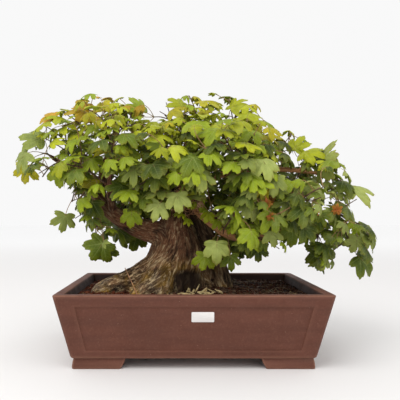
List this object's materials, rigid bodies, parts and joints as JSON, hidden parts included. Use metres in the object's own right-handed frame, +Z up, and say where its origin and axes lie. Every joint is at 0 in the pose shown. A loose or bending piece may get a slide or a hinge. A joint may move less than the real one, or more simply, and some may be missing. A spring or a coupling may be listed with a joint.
{
  "type": "field maple bonsai",
  "caption": "Potted miniature maple with a broad flared trunk, leafy shoots of lobed leaves, soil and a rectangular footed pot with recessed panels.",
  "frame": {"origin": "the middle of the whole object's box, on the surface that the feet stand on", "axes": "+X to the right of the pot's long front, +Y to the back, +Z up"},
  "size_m": [0.6182, 0.3602, 0.4315],
  "materials": {
    "pot": "unglazed red-brown stoneware, matt",
    "drain_mesh": "black mesh",
    "soil": "dark reddish-brown crumbs with bark and fine roots",
    "label": "plain white, satin",
    "bark": "rough fibrous bark, tan and dark brown",
    "leaf": "thin soft leaf, yellow-green to dark green, satin above and paler below"
  },
  "bodies": {
    "root": {"drain_mesh_left": "drain_mesh", "drain_mesh_right": "drain_mesh", "label": "label", "pot": "pot", "soil": "soil", "spray_left_1": "leaf", "spray_left_10": "leaf", "spray_left_11": "leaf", "spray_left_12": "leaf", "spray_left_13": "leaf", "spray_left_14": "leaf", "spray_left_15": "leaf", "spray_left_2": "leaf", "spray_left_3": "leaf", "spray_left_4": "leaf", "spray_left_5": "leaf", "spray_left_6": "leaf", "spray_left_7": "leaf", "spray_left_8": "leaf", "spray_left_9": "leaf", "spray_middle_1": "leaf", "spray_middle_10": "leaf", "spray_middle_11": "leaf", "spray_middle_2": "leaf", "spray_middle_3": "leaf", "spray_middle_4": "leaf", "spray_middle_5": "leaf", "spray_middle_6": "leaf", "spray_middle_7": "leaf", "spray_middle_8": "leaf", "spray_middle_9": "leaf", "spray_right_1": "leaf", "spray_right_10": "leaf", "spray_right_11": "leaf", "spray_right_12": "leaf", "spray_right_13": "leaf", "spray_right_14": "leaf", "spray_right_15": "leaf", "spray_right_16": "leaf", "spray_right_17": "leaf", "spray_right_18": "leaf", "spray_right_19": "leaf", "spray_right_2": "leaf", "spray_right_20": "leaf", "spray_right_21": "leaf", "spray_right_3": "leaf", "spray_right_4": "leaf", "spray_right_5": "leaf", "spray_right_6": "leaf", "spray_right_7": "leaf", "spray_right_8": "leaf", "spray_right_9": "leaf", "trunk": "bark"}
  },
  "joints": []
}
